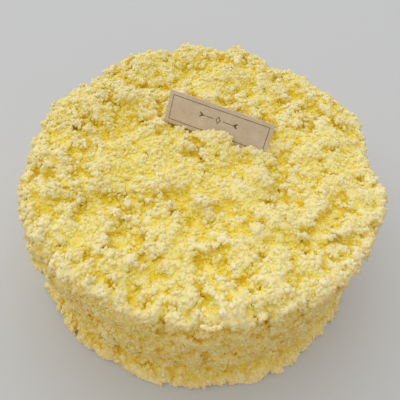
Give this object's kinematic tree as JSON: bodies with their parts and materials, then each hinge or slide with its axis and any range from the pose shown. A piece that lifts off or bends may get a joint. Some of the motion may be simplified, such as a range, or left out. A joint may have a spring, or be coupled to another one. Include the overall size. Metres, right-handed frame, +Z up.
{
  "type": "jiggly cheesecake",
  "caption": "Round jiggly cheesecake covered all over in pale yellow sponge crumbs, with a small blank card tucked into the top.",
  "frame": {"origin": "the middle of the outline, on the flat underside that the cake stands on", "axes": "+Z up; -Y towards the side that the card faces"},
  "size_m": [0.167, 0.166, 0.0762],
  "materials": {
    "sponge_crumb": "matt, soft and porous: sieved sponge crumbs, pale cream where they catch the light and golden in the gaps",
    "card_stock": "smooth uncoated cream card with a thin printed frame line"
  },
  "bodies": {
    "root": {"cake": "sponge_crumb", "card": "card_stock"}
  },
  "joints": []
}
